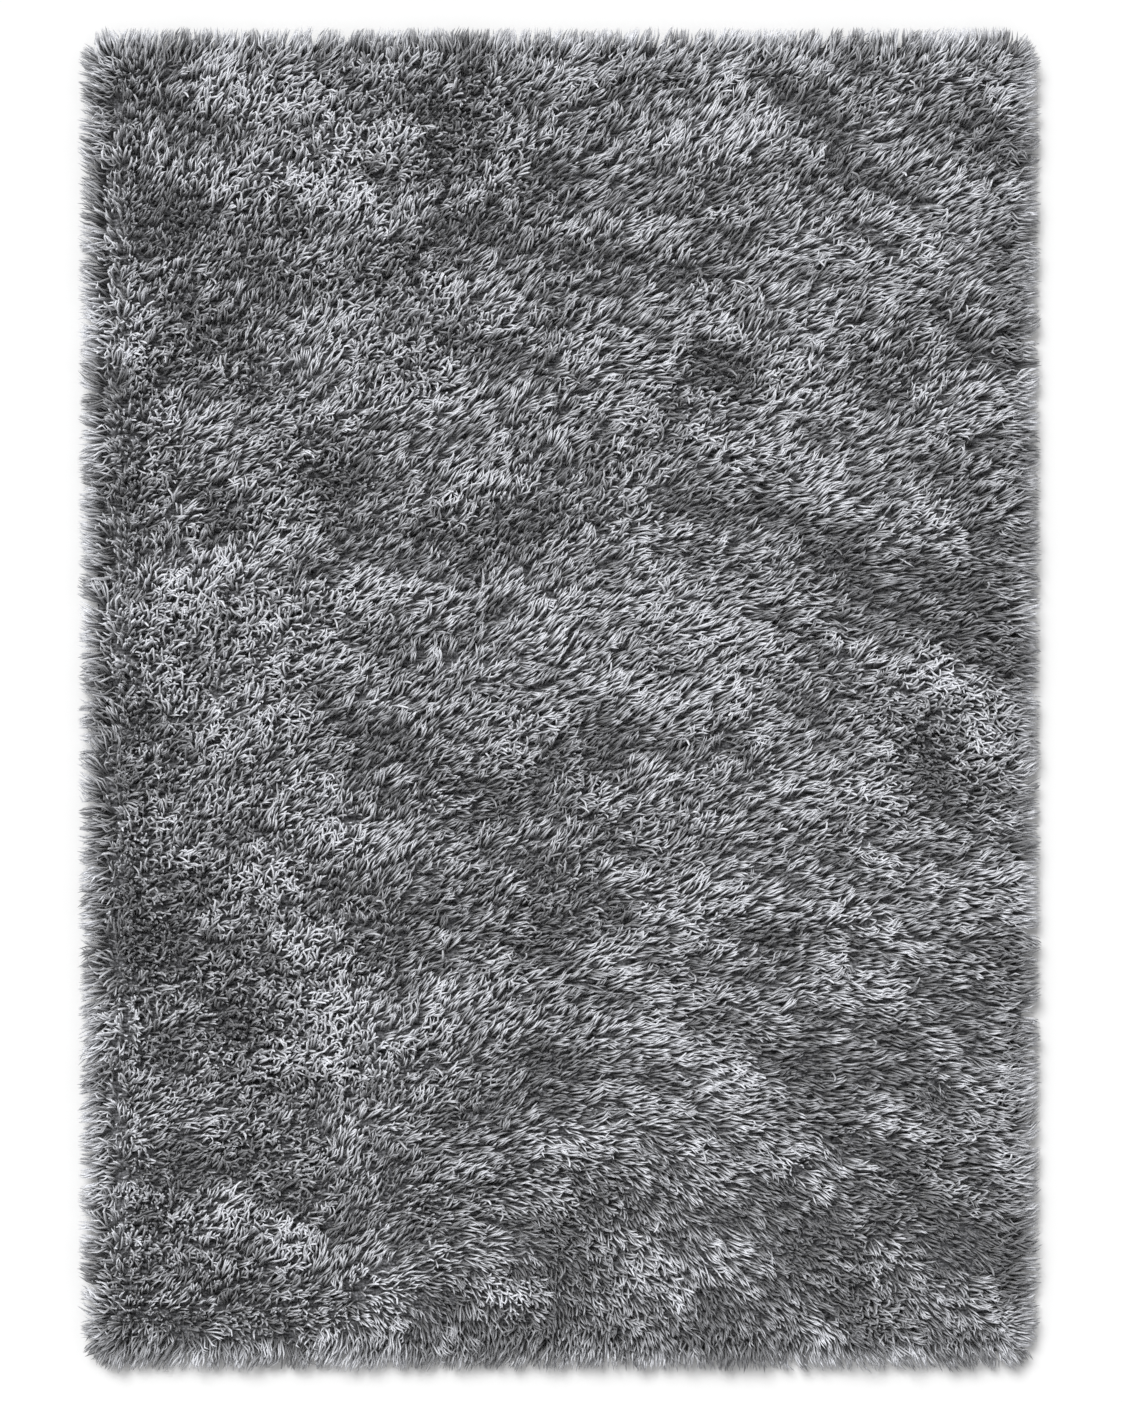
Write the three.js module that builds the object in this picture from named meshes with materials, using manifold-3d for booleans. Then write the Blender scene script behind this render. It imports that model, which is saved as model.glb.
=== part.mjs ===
// Shag rug: a flat ground cloth under a deep cut pile that hangs over its edges all round.
// Millimetres, +Z up. X is the width, Y the length. The origin is the centre of the underside.
import * as THREE from 'three';
import { mergeVertices } from 'three/addons/utils/BufferGeometryUtils.js';
import Module from 'manifold-3d';

// Ground cloth: a standard 120 x 170 cm rug
const CLOTH_WIDTH = 1200;
const CLOTH_LENGTH = 1700;
const CLOTH_THICKNESS = 3;
const CLOTH_CORNER_RADIUS = 16;

// Pile
const RUG_HEIGHT = 45;               // from the floor to the tallest locks
const PILE_OVERHANG = 29;            // how far the outer yarns reach past the cloth
const PILE_CORNER_RADIUS = 46;       // in plan
const SHOULDER_WIDTH = 32;           // where the top begins to fall away to the side
const FOOT_RADIUS = 10;              // the side tucks in under this round foot
const FOOT_CLEARANCE = 1;            // the hanging yarns end this far off the floor
const LOCK_DEPTH = 7;                // from the top of a ridge of pile to the bottom of a hollow
const EDGE_WANDER = 3;               // how far the side wanders in and out
const EDGE_WANDER_LENGTH = 167;      // from one bulge of the side to the next

// Ridges and hollows of the pile. Each set of ridges runs across the rug, tilted by its drift.
const RIDGE_SETS = [
  { spacing: 122, drift: 0.26, waver: 24, waverLength: 410, share: 0.45 },
  { spacing: 205, drift: -0.14, waver: 30, waverLength: 630, share: 0.35 },
  { spacing: 331, drift: 0.62, waver: 45, waverLength: 880, share: 0.20 },
];

const GAP = 0.3;                     // between the cloth and the pile round it
const GRID_STEP = 33;                // surface grid over the middle of the pile
const SHOULDER_STEPS = 5;            // grid lines over each shoulder
const FOOT_STEPS = 3;                // rows of facets round the foot
const CORNER_STEPS = 8;              // facets round a corner of the cloth

const PILE_WIDTH = CLOTH_WIDTH + 2 * PILE_OVERHANG;
const PILE_LENGTH = CLOTH_LENGTH + 2 * PILE_OVERHANG;
const FOOT_TOP = FOOT_CLEARANCE + FOOT_RADIUS;
const FULL_TURN = 2 * Math.PI;

const wasm = await Module();
wasm.setup();

function roundedRectangle(width, length, radius) {
  const shape = new THREE.Shape();
  const x = width / 2 - radius;
  const y = length / 2 - radius;
  const quarter = Math.PI / 2;
  shape.absarc(x, -y, radius, -quarter, 0);
  shape.absarc(x, y, radius, 0, quarter);
  shape.absarc(-x, y, radius, quarter, 2 * quarter);
  shape.absarc(-x, -y, radius, 2 * quarter, 3 * quarter);
  shape.closePath();
  return shape;
}

// The cloth's flat plate, made larger all round by grow
function clothPlate(grow, thickness) {
  const outline = roundedRectangle(
    CLOTH_WIDTH + 2 * grow,
    CLOTH_LENGTH + 2 * grow,
    CLOTH_CORNER_RADIUS + grow,
  );
  return new THREE.ExtrudeGeometry(outline, {
    depth: thickness,
    bevelEnabled: false,
    curveSegments: CORNER_STEPS,
  });
}

// 0 at the bottom of a hollow of the pile, 1 on top of a ridge
function ridgeAt(x, y) {
  let sum = 0;
  for (const { spacing, drift, waver, waverLength, share } of RIDGE_SETS) {
    const across = y + drift * x + waver * Math.sin((FULL_TURN * x) / waverLength);
    sum += share * (0.5 + 0.5 * Math.cos((FULL_TURN * across) / spacing));
  }
  return sum;
}

// Position within a corner's square, measured out from where the corner's arc is centred
function pastCornerCentre(x, y) {
  return [
    Math.abs(x) - (PILE_WIDTH / 2 - PILE_CORNER_RADIUS),
    Math.abs(y) - (PILE_LENGTH / 2 - PILE_CORNER_RADIUS),
  ];
}

// Distance in from the outline of the pile
function insetAt(x, y) {
  const [pastX, pastY] = pastCornerCentre(x, y);
  const outside = Math.hypot(Math.max(pastX, 0), Math.max(pastY, 0));
  return PILE_CORNER_RADIUS - outside - Math.min(Math.max(pastX, pastY), 0);
}

// Draws the points of a square corner in to a round one
function roundCorner(x, y) {
  const [pastX, pastY] = pastCornerCentre(x, y);
  if (pastX <= 0 || pastY <= 0) {
    return [x, y];
  }
  const shrink = 1 - Math.max(pastX, pastY) / Math.hypot(pastX, pastY);
  return [x - Math.sign(x) * pastX * shrink, y - Math.sign(y) * pastY * shrink];
}

// Moves a point near the side straight in by distance, and less the further in it already is
function drawIn(x, y, distance) {
  const [pastX, pastY] = pastCornerCentre(x, y).map((past) => Math.max(past, 0));
  const outside = Math.hypot(pastX, pastY);
  if (outside === 0) {
    return [x, y];
  }
  const step = distance / PILE_CORNER_RADIUS;
  return [x - Math.sign(x) * pastX * step, y - Math.sign(y) * pastY * step];
}

function edgeWanderAt(x, y) {
  return EDGE_WANDER * (0.5 + 0.5 * Math.sin((FULL_TURN * (x - y)) / EDGE_WANDER_LENGTH));
}

// Grid lines across the pile: an elliptical shoulder at each side, then even steps between
function gridLines(size) {
  const shoulder = [];
  for (let i = 0; i < SHOULDER_STEPS; i += 1) {
    shoulder.push(SHOULDER_WIDTH * (1 - Math.cos((Math.PI / 2) * (i / SHOULDER_STEPS))));
  }
  const middle = size - 2 * SHOULDER_WIDTH;
  const count = Math.round(middle / GRID_STEP);
  const lines = shoulder.map((inset) => inset - size / 2);
  for (let i = 0; i <= count; i += 1) {
    lines.push(middle * (i / count - 0.5));
  }
  return lines.concat(shoulder.map((inset) => size / 2 - inset).reverse());
}

// The pile's top: ridges and hollows, falling away over the shoulders to the top of the foot
function topAt(x, y, inset) {
  const crown = RUG_HEIGHT - LOCK_DEPTH * (1 - ridgeAt(x, y));
  const fall = 1 - THREE.MathUtils.clamp(inset / SHOULDER_WIDTH, 0, 1);
  return FOOT_TOP + (crown - FOOT_TOP) * Math.sqrt(1 - fall * fall);
}

// A box with one grid point to each unit, its points then moved to the pile's surface
function pileBlock() {
  const linesX = gridLines(PILE_WIDTH);
  const linesY = gridLines(PILE_LENGTH);
  const cells = [linesX.length - 1, linesY.length - 1, FOOT_STEPS];
  const box = new THREE.BoxGeometry(...cells, ...cells);
  const points = box.attributes.position;
  for (let i = 0; i < points.count; i += 1) {
    const column = Math.round(points.getX(i) + cells[0] / 2);
    const row = Math.round(points.getY(i) + cells[1] / 2);
    const level = Math.round(points.getZ(i) + cells[2] / 2);
    const [x, y] = roundCorner(linesX[column], linesY[row]);
    const footAngle = (Math.PI / 2) * (level / FOOT_STEPS);
    const tuck = FOOT_RADIUS * (1 - Math.sin(footAngle));
    const footZ = FOOT_TOP - FOOT_RADIUS * Math.cos(footAngle);
    const z = level === FOOT_STEPS ? topAt(x, y, insetAt(x, y)) : footZ;
    points.setXYZ(i, ...drawIn(x, y, tuck + edgeWanderAt(x, y)), z);
  }
  return box;
}

function toManifold(geometry) {
  const bare = geometry.clone();
  bare.deleteAttribute('normal');
  bare.deleteAttribute('uv');
  const merged = mergeVertices(bare, 1e-4);
  return new wasm.Manifold(new wasm.Mesh({
    numProp: 3,
    vertProperties: new Float32Array(merged.attributes.position.array),
    triVerts: new Uint32Array(merged.index.array),
  }));
}

function toGeometry(manifold) {
  const mesh = manifold.getMesh();
  const geometry = new THREE.BufferGeometry();
  geometry.setAttribute('position', new THREE.BufferAttribute(mesh.vertProperties, 3));
  geometry.setIndex(new THREE.BufferAttribute(mesh.triVerts, 1));
  geometry.computeVertexNormals();
  return geometry;
}

// The pile stands on the cloth and hangs round its edge, so the cloth is cut out of it
function pileGeometry() {
  const seatDepth = CLOTH_THICKNESS + GAP;
  const seat = clothPlate(GAP, 2 * seatDepth).translate(0, 0, -seatDepth);
  return toGeometry(toManifold(pileBlock()).subtract(toManifold(seat)));
}

const clothMaterial = new THREE.MeshStandardMaterial({
  color: 0x8f8d88, roughness: 0.95, metalness: 0,
});
const pileMaterial = new THREE.MeshStandardMaterial({
  color: 0x737377, roughness: 0.7, metalness: 0,
});

const cloth = new THREE.Mesh(clothPlate(0, CLOTH_THICKNESS), clothMaterial);
cloth.name = 'ground_cloth';

const pile = new THREE.Mesh(pileGeometry(), pileMaterial);
pile.name = 'pile';

const rug = new THREE.Group();
rug.add(cloth, pile);

export default rug;
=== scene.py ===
import math
import bpy
import numpy as np
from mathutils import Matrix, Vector, kdtree


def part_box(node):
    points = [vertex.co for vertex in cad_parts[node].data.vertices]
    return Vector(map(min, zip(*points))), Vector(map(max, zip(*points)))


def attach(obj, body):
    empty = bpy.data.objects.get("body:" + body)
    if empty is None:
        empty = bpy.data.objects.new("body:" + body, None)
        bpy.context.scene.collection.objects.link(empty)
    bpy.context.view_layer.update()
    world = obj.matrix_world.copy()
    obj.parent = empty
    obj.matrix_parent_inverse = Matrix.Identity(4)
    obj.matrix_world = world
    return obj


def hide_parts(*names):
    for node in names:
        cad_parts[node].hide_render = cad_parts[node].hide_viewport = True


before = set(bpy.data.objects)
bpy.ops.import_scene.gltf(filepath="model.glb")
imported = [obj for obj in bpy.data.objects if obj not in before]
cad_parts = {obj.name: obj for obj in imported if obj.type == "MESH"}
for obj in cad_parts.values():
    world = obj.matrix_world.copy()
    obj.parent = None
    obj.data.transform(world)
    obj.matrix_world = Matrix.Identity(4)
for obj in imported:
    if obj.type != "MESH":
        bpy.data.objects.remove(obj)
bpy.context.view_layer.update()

# A shag rug: a hemmed ground cloth, and the cut pile that stands on it and hangs over its edges.
# Metres, X across the width, Y along the length, Z up. The floor is at zero.

clothLow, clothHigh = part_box("ground_cloth")
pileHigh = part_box("pile")[1]
clothHalf = (clothHigh[0], clothHigh[1])
rugHalf = (pileHigh[0], pileHigh[1])
overhang = rugHalf[0] - clothHalf[0]
mm = 0.001
rugCorner = 46 * mm


# Small helpers, used by every piece

def smoothNoise(x, y, cell, seed):
    # soft random hills about one cell across, 0 to 1
    lattice = np.random.default_rng(seed).random((64, 64))
    u, v = x / cell + 32.0, y / cell + 32.0
    column, row = np.floor(u).astype(int), np.floor(v).astype(int)
    fu, fv = u - column, v - row
    fu, fv = fu * fu * (3 - 2 * fu), fv * fv * (3 - 2 * fv)
    near, far = column % 64, (column + 1) % 64
    low, high = row % 64, (row + 1) % 64
    bottom = lattice[near, low] * (1 - fu) + lattice[far, low] * fu
    top = lattice[near, high] * (1 - fu) + lattice[far, high] * fu
    return bottom * (1 - fv) + top * fv


def rampUp(value, start, end):
    share = np.clip((value - start) / (end - start), 0, 1)
    return share * share * (3 - 2 * share)


def outline(x, y, half, radius):
    # distance in from a rounded rectangle, and the way out of it
    pastX = np.abs(x) - (half[0] - radius)
    pastY = np.abs(y) - (half[1] - radius)
    cornerX, cornerY = np.maximum(pastX, 0), np.maximum(pastY, 0)
    beyond = np.hypot(cornerX, cornerY)
    inset = radius - beyond - np.minimum(np.maximum(pastX, pastY), 0)
    inCorner = beyond > 0
    safe = np.where(inCorner, beyond, 1)
    outX = np.where(inCorner, cornerX / safe, pastX > pastY) * np.sign(x)
    outY = np.where(inCorner, cornerY / safe, pastX <= pastY) * np.sign(y)
    return inset, outX, outY


def rugOutline(x, y):
    return outline(x, y, rugHalf, rugCorner)


def unit(vectors):
    return vectors / (np.linalg.norm(vectors, axis=-1, keepdims=True) + 1e-12)


def startPiece(addPrimitive, name, **settings):
    bpy.ops.object.select_all(action="DESELECT")
    addPrimitive(**settings)
    piece = bpy.context.object
    piece.name = name
    piece.data.name = name
    return piece


def placeOf(mesh):
    places = np.empty(len(mesh.vertices) * 3)
    mesh.vertices.foreach_get("co", places)
    return places.reshape(-1, 3)


def movePlaces(mesh, places):
    mesh.vertices.foreach_set("co", places.ravel())
    mesh.update()


# Node groups that the finishes share, then the finishes

def newGroup(name, inputs, outputs):
    group = bpy.data.node_groups.new(name, "ShaderNodeTree")
    for label, kind, value in inputs:
        socket = group.interface.new_socket(label, in_out="INPUT", socket_type=kind)
        if value is not None:
            socket.default_value = value
    for label, kind in outputs:
        group.interface.new_socket(label, in_out="OUTPUT", socket_type=kind)
    return group, group.nodes.new("NodeGroupInput"), group.nodes.new("NodeGroupOutput")


def mathNode(tree, operation, a, b=None, c=None):
    node = tree.nodes.new("ShaderNodeMath")
    node.operation = operation
    for socket, value in zip(node.inputs, (a, b, c)):
        if value is None:
            continue
        if isinstance(value, (int, float)):
            socket.default_value = value
        else:
            tree.links.new(value, socket)
    return node.outputs[0]


def makeTwistGroup():
    # the plies of a spun yarn, winding round it, and its fuzz; its shade is painted shade, darker in the
    # grooves between the plies, with the fuzz's random tone
    group, given, made = newGroup(
        "yarnTwist",
        [("Around", "NodeSocketFloat", 0.0), ("Along", "NodeSocketFloat", 0.0),
         ("Plies", "NodeSocketFloat", 2.0), ("Turns", "NodeSocketFloat", 9.0),
         ("Fuzz", "NodeSocketFloat", 0.3)],
        [("Shade", "NodeSocketFloat")])
    turned = mathNode(group, "MULTIPLY", given.outputs["Along"], given.outputs["Turns"])
    lapped = mathNode(group, "MULTIPLY", given.outputs["Around"], given.outputs["Plies"])
    phase = mathNode(group, "MULTIPLY", mathNode(group, "ADD", turned, lapped), 2 * math.pi)
    ply = mathNode(group, "MULTIPLY_ADD", mathNode(group, "SINE", phase), 0.5, 0.5)
    place = group.nodes.new("ShaderNodeCombineXYZ")
    group.links.new(mathNode(group, "MULTIPLY", given.outputs["Around"], 7.0), place.inputs[0])
    group.links.new(mathNode(group, "MULTIPLY", given.outputs["Along"], 90.0), place.inputs[1])
    fibres = group.nodes.new("ShaderNodeTexNoise")
    fibres.inputs["Scale"].default_value = 1.0
    fibres.inputs["Detail"].default_value = 2.0
    group.links.new(place.outputs[0], fibres.inputs["Vector"])
    fuzz = mathNode(group, "MULTIPLY", mathNode(group, "SUBTRACT", fibres.outputs["Fac"], 0.5),
                 given.outputs["Fuzz"])
    height = mathNode(group, "ADD", ply, fuzz)
    group.links.new(mathNode(group, "MULTIPLY_ADD", height, 0.22, 0.86), made.inputs["Shade"])
    return group


def makeWeaveGroup():
    # warp and weft going over and under each other in turn, as many a metre as the density; its shade is
    # painted shade, darker where the yarns dip at the edges of each crossing
    group, given, made = newGroup(
        "plainWeave",
        [("Vector", "NodeSocketVector", None), ("Density", "NodeSocketFloat", 420.0)],
        [("Height", "NodeSocketFloat"), ("Shade", "NodeSocketFloat")])
    scaled = group.nodes.new("ShaderNodeVectorMath")
    scaled.operation = "SCALE"
    group.links.new(given.outputs["Vector"], scaled.inputs[0])
    group.links.new(given.outputs["Density"], scaled.inputs["Scale"])
    split = group.nodes.new("ShaderNodeSeparateXYZ")
    group.links.new(scaled.outputs[0], split.inputs[0])
    waves = []
    for axis in (0, 1):
        cell = mathNode(group, "FRACT", split.outputs[axis])
        waves.append(mathNode(group, "SINE", mathNode(group, "MULTIPLY", cell, math.pi)))
    cells = [mathNode(group, "FLOOR", split.outputs[axis]) for axis in (0, 1)]
    parity = mathNode(group, "PINGPONG", mathNode(group, "ADD", *cells), 1.0)
    warp = mathNode(group, "MULTIPLY", waves[0], parity)
    weft = mathNode(group, "MULTIPLY", waves[1], mathNode(group, "SUBTRACT", 1.0, parity))
    height = mathNode(group, "ADD", warp, weft)
    group.links.new(height, made.inputs["Height"])
    # painted shade: the weave darker where its height is low
    group.links.new(mathNode(group, "MULTIPLY_ADD", height, 0.35, 0.65), made.inputs["Shade"])
    return group


def makeMottleGroup():
    # slow, uneven dyeing and soiling, 1 on average
    group, given, made = newGroup(
        "dyeMottle",
        [("Vector", "NodeSocketVector", None), ("Scale", "NodeSocketFloat", 6.0),
         ("Strength", "NodeSocketFloat", 0.2)],
        [("Shade", "NodeSocketFloat")])
    noise = group.nodes.new("ShaderNodeTexNoise")
    noise.inputs["Detail"].default_value = 4.0
    group.links.new(given.outputs["Vector"], noise.inputs["Vector"])
    group.links.new(given.outputs["Scale"], noise.inputs["Scale"])
    off = mathNode(group, "MULTIPLY", mathNode(group, "SUBTRACT", noise.outputs["Fac"], 0.5),
                given.outputs["Strength"])
    group.links.new(mathNode(group, "ADD", off, 1.0), made.inputs["Shade"])
    return group


def placeGroup(material, group, **values):
    node = material.node_tree.nodes.new("ShaderNodeGroup")
    node.node_tree = group
    for label, value in values.items():
        node.inputs[label].default_value = value
    return node


def newMaterial(name, roughness, sheen, specular):
    material = bpy.data.materials.new(name)
    material.use_nodes = True
    shader = material.node_tree.nodes["Principled BSDF"]
    shader.inputs["Roughness"].default_value = roughness
    shader.inputs["Sheen Weight"].default_value = sheen
    shader.inputs["Sheen Roughness"].default_value = 0.45
    shader.inputs["Specular IOR Level"].default_value = specular
    return material, shader


def tint(tree, colour, shade):
    # a colour made lighter or darker by a shade
    node = tree.nodes.new("ShaderNodeVectorMath")
    node.operation = "SCALE"
    if isinstance(colour, tuple):
        node.inputs[0].default_value = colour
    else:
        tree.links.new(colour, node.inputs[0])
    tree.links.new(shade, node.inputs["Scale"])
    return node.outputs[0]


twistGroup = makeTwistGroup()
weaveGroup = makeWeaveGroup()
mottleGroup = makeMottleGroup()

yarnDyeAndRootShade = {
    "tones": 48,                         # shades that the yarns come in, dark to light
    "darkest": (0.170, 0.172, 0.181),
    "lightest": (0.690, 0.701, 0.739),
    "rootShade": 0.40,                   # painted shade: how dark a yarn is painted down between its neighbours
    "tipShade": 1.0,
    "shadedTo": 0.80,                    # share of the yarn that the painted shade reaches up
}


def makeYarnMaterial():
    # the yarn's map runs along each yarn in v, and across in u: one column for each tone
    material, shader = newMaterial("pileYarn", 0.48, 0.25, 0.42)
    tree = material.node_tree
    uv = tree.nodes.new("ShaderNodeUVMap")
    uv.uv_map = "OFBake"
    split = tree.nodes.new("ShaderNodeSeparateXYZ")
    tree.links.new(uv.outputs[0], split.inputs[0])
    columns = mathNode(tree, "MULTIPLY", split.outputs[0], float(yarnDyeAndRootShade["tones"]))
    tone = mathNode(tree, "DIVIDE", mathNode(tree, "FLOOR", columns), yarnDyeAndRootShade["tones"] - 1.0)
    around = mathNode(tree, "FRACT", columns)
    along = split.outputs[1]

    twist = placeGroup(material, twistGroup, Plies=2.0, Turns=11.0, Fuzz=0.5)
    tree.links.new(around, twist.inputs["Around"])
    tree.links.new(along, twist.inputs["Along"])

    dye = tree.nodes.new("ShaderNodeValToRGB")
    dye.color_ramp.elements[0].color = (*yarnDyeAndRootShade["darkest"], 1)
    dye.color_ramp.elements[1].color = (*yarnDyeAndRootShade["lightest"], 1)
    tree.links.new(tone, dye.inputs[0])

    # painted shade: each yarn darker towards its root, where it stands down between its neighbours
    paintedRootShade = tree.nodes.new("ShaderNodeValToRGB")
    paintedRootShade.color_ramp.interpolation = "EASE"
    low, high = paintedRootShade.color_ramp.elements
    low.position, high.position = 0.0, yarnDyeAndRootShade["shadedTo"]
    low.color = (*[yarnDyeAndRootShade["rootShade"]] * 3, 1)
    high.color = (*[yarnDyeAndRootShade["tipShade"]] * 3, 1)
    tree.links.new(along, paintedRootShade.inputs[0])

    # painted shade from the root and the ply grooves, laid on the dye
    shade = mathNode(tree, "MULTIPLY", paintedRootShade.outputs[0], twist.outputs["Shade"])
    tree.links.new(tint(tree, dye.outputs[0], shade), shader.inputs["Base Color"])
    return material


def makeRootsMaterial():
    # the dense feet of the yarns, seen only in the gaps, and coloured dark as painted shade down between
    # the yarns
    material, shader = newMaterial("pileRoots", 0.9, 0.0, 0.2)
    tree = material.node_tree
    place = tree.nodes.new("ShaderNodeTexCoord")
    feet = tree.nodes.new("ShaderNodeTexVoronoi")
    feet.inputs["Scale"].default_value = 330.0
    tree.links.new(place.outputs["Object"], feet.inputs["Vector"])
    mottle = placeGroup(material, mottleGroup, Scale=40.0, Strength=0.6)
    tree.links.new(place.outputs["Object"], mottle.inputs["Vector"])
    combed = tree.nodes.new("ShaderNodeMapping")
    combed.inputs["Rotation"].default_value = (0, 0, math.radians(-42))
    combed.inputs["Scale"].default_value = (60, 330, 60)
    tree.links.new(place.outputs["Object"], combed.inputs["Vector"])
    streaks = tree.nodes.new("ShaderNodeTexNoise")
    streaks.inputs["Scale"].default_value = 1.0
    streaks.inputs["Detail"].default_value = 2.0
    tree.links.new(combed.outputs[0], streaks.inputs["Vector"])
    # painted shade: darker in the low combed streaks
    paintedStreakShade = mathNode(tree, "MULTIPLY_ADD", streaks.outputs["Fac"], 4.4, -1.35)
    paintedStreakShade = mathNode(tree, "MAXIMUM", paintedStreakShade, 0.12)
    # painted shade: each foot darker towards its edge, where it meets the next
    paintedFootShade = mathNode(tree, "SUBTRACT", 1.0, feet.outputs["Distance"])
    shade = mathNode(tree, "MULTIPLY", paintedFootShade, paintedStreakShade)
    shade = mathNode(tree, "MULTIPLY", shade, mottle.outputs["Shade"])
    tree.links.new(tint(tree, pileBed["colour"], shade), shader.inputs["Base Color"])
    bump = tree.nodes.new("ShaderNodeBump")
    bump.inputs["Distance"].default_value = 2 * mm
    bump.inputs["Strength"].default_value = 0.8
    tree.links.new(streaks.outputs["Fac"], bump.inputs["Height"])
    tree.links.new(bump.outputs[0], shader.inputs["Normal"])
    return material


def makeClothMaterial():
    material, shader = newMaterial("groundCloth", 0.92, 0.15, 0.25)
    tree = material.node_tree
    place = tree.nodes.new("ShaderNodeTexCoord")
    weave = placeGroup(material, weaveGroup, Density=groundCloth["density"])
    tree.links.new(place.outputs["Object"], weave.inputs["Vector"])
    mottle = placeGroup(material, mottleGroup, Scale=9.0, Strength=0.25)
    tree.links.new(place.outputs["Object"], mottle.inputs["Vector"])
    # painted shade of the weave, times the cloth's own mottled dyeing
    shade = mathNode(tree, "MULTIPLY", weave.outputs["Shade"], mottle.outputs["Shade"])
    tree.links.new(tint(tree, groundCloth["colour"], shade), shader.inputs["Base Color"])
    bump = tree.nodes.new("ShaderNodeBump")
    bump.inputs["Distance"].default_value = 0.5 * mm
    bump.inputs["Strength"].default_value = 0.7
    tree.links.new(weave.outputs["Height"], bump.inputs["Height"])
    tree.links.new(bump.outputs[0], shader.inputs["Normal"])
    return material


# The camera looks straight down, under one soft lamp and a pale sky

studio = {
    "cameraHeight": 6.0,
    "cameraOff": (2 * mm, -2 * mm),      # from straight over the middle
    "framedLength": 1.833,               # what the view's long side spans at the pile's top
    "keyStrength": 3.35,
    "keyFrom": (-0.28, 0.56, 1.0),       # the way to the big soft lamp
    "keySpread": 28,                     # degrees that it fills, seen from the floor
    "skyStrength": 0.70,
    "floor": 0.655,
}


def setStudio():
    cameraData = bpy.data.cameras.new("overhead")
    cameraData.sensor_width = 36.0
    reach = studio["cameraHeight"] - pileHigh[2]
    cameraData.lens = cameraData.sensor_width * reach / studio["framedLength"]
    cameraData.clip_end = 50
    camera = bpy.data.objects.new("overhead", cameraData)
    camera.location = (*studio["cameraOff"], studio["cameraHeight"])
    bpy.context.collection.objects.link(camera)
    bpy.context.scene.camera = camera

    keyData = bpy.data.lights.new("key", "SUN")
    keyData.energy = studio["keyStrength"]
    keyData.angle = math.radians(studio["keySpread"])
    key = bpy.data.objects.new("key", keyData)
    key.rotation_euler = Vector(studio["keyFrom"]).to_track_quat("Z", "Y").to_euler()
    bpy.context.collection.objects.link(key)

    world = bpy.data.worlds.new("studio")
    world.use_nodes = True
    sky = world.node_tree.nodes["Background"]
    sky.inputs["Color"].default_value = (1, 1, 1, 1)
    sky.inputs["Strength"].default_value = studio["skyStrength"]
    bpy.context.scene.world = world
    bpy.context.scene.view_settings.view_transform = "Standard"

    floor = startPiece(bpy.ops.mesh.primitive_plane_add, "floor", size=14)
    floor.location = (0, 0, -0.1 * mm)
    material, shader = newMaterial("paleFloor", 0.8, 0.0, 0.1)
    shader.inputs["Base Color"].default_value = (*[studio["floor"]] * 3, 1)
    floor.data.materials.append(material)
    print("studio set")


setStudio()


# The ground cloth, modelled flat with its edge turned under

groundCloth = {
    "size": (2 * clothHalf[0], 2 * clothHalf[1]),
    "corner": 16 * mm,
    "hem": 12 * mm,                      # the edge turned under
    "turn": 0.5 * mm,                    # how far the turned edge stands under the cloth
    "thickness": clothHigh[2] - clothLow[2],
    "density": 430.0,                    # weave yarns a metre
    "colour": (0.33, 0.32, 0.30),
}


def makeGroundCloth():
    cloth = startPiece(bpy.ops.mesh.primitive_plane_add, "groundCloth", size=1)
    cloth.scale = (*groundCloth["size"], 1)
    bpy.ops.object.transform_apply(location=False, rotation=False, scale=True)
    bpy.ops.object.mode_set(mode="EDIT")
    bpy.ops.mesh.select_all(action="SELECT")
    bpy.ops.mesh.bevel(offset=groundCloth["corner"], segments=6, affect="VERTICES")
    bpy.ops.mesh.select_all(action="SELECT")
    bpy.ops.mesh.inset(thickness=groundCloth["hem"])
    bpy.ops.mesh.inset(thickness=2 * groundCloth["turn"])
    bpy.ops.transform.translate(value=(0, 0, groundCloth["turn"]))
    bpy.ops.mesh.select_all(action="SELECT")
    thick = groundCloth["thickness"] - groundCloth["turn"]
    bpy.ops.mesh.extrude_region_move(TRANSFORM_OT_translate={"value": (0, 0, thick)})
    bpy.ops.mesh.select_all(action="SELECT")
    bpy.ops.mesh.normals_make_consistent(inside=False)
    bpy.ops.object.mode_set(mode="OBJECT")
    soften = cloth.modifiers.new("roundedFolds", "BEVEL")
    soften.width = 0.4 * mm
    soften.segments = 2
    bpy.ops.object.modifier_apply(modifier=soften.name)
    cloth.data.materials.clear()
    cloth.data.materials.append(makeClothMaterial())
    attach(cloth, "root")
    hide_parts("ground_cloth")
    print("ground cloth made")
    return cloth


# How the pile lies

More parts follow.
